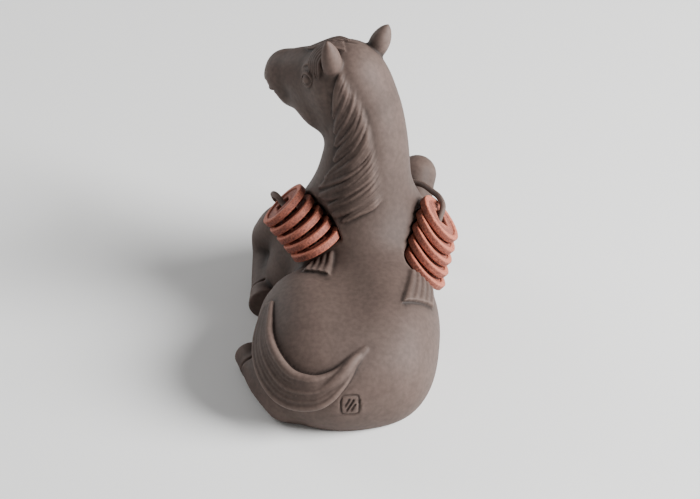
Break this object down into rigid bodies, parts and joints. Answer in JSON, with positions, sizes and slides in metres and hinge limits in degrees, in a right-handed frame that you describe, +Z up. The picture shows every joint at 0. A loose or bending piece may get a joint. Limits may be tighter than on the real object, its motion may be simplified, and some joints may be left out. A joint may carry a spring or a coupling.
{
  "type": "clay tea pet",
  "caption": "Small solid clay figure of a resting horse, head turned to its left, with threaded cash coins laid over each flank; stands on a tea tray by its own weight.",
  "frame": {"origin": "on the flat underside, under the middle of the belly", "axes": "+Y the way the body points, +X the horse's right side, +Z up out of the surface it stands on"},
  "size_m": [0.0745, 0.1106, 0.0971],
  "materials": {
    "dark_clay": "satin unglazed clay",
    "red_clay": "matte unglazed clay"
  },
  "bodies": {
    "root": {"horse": "dark_clay", "coin_left_1": "red_clay", "coin_left_2": "red_clay", "coin_left_3": "red_clay", "coin_left_4": "red_clay", "coin_left_5": "red_clay", "coin_right_1": "red_clay", "coin_right_2": "red_clay", "coin_right_3": "red_clay", "coin_right_4": "red_clay", "coin_right_5": "red_clay"}
  },
  "joints": []
}
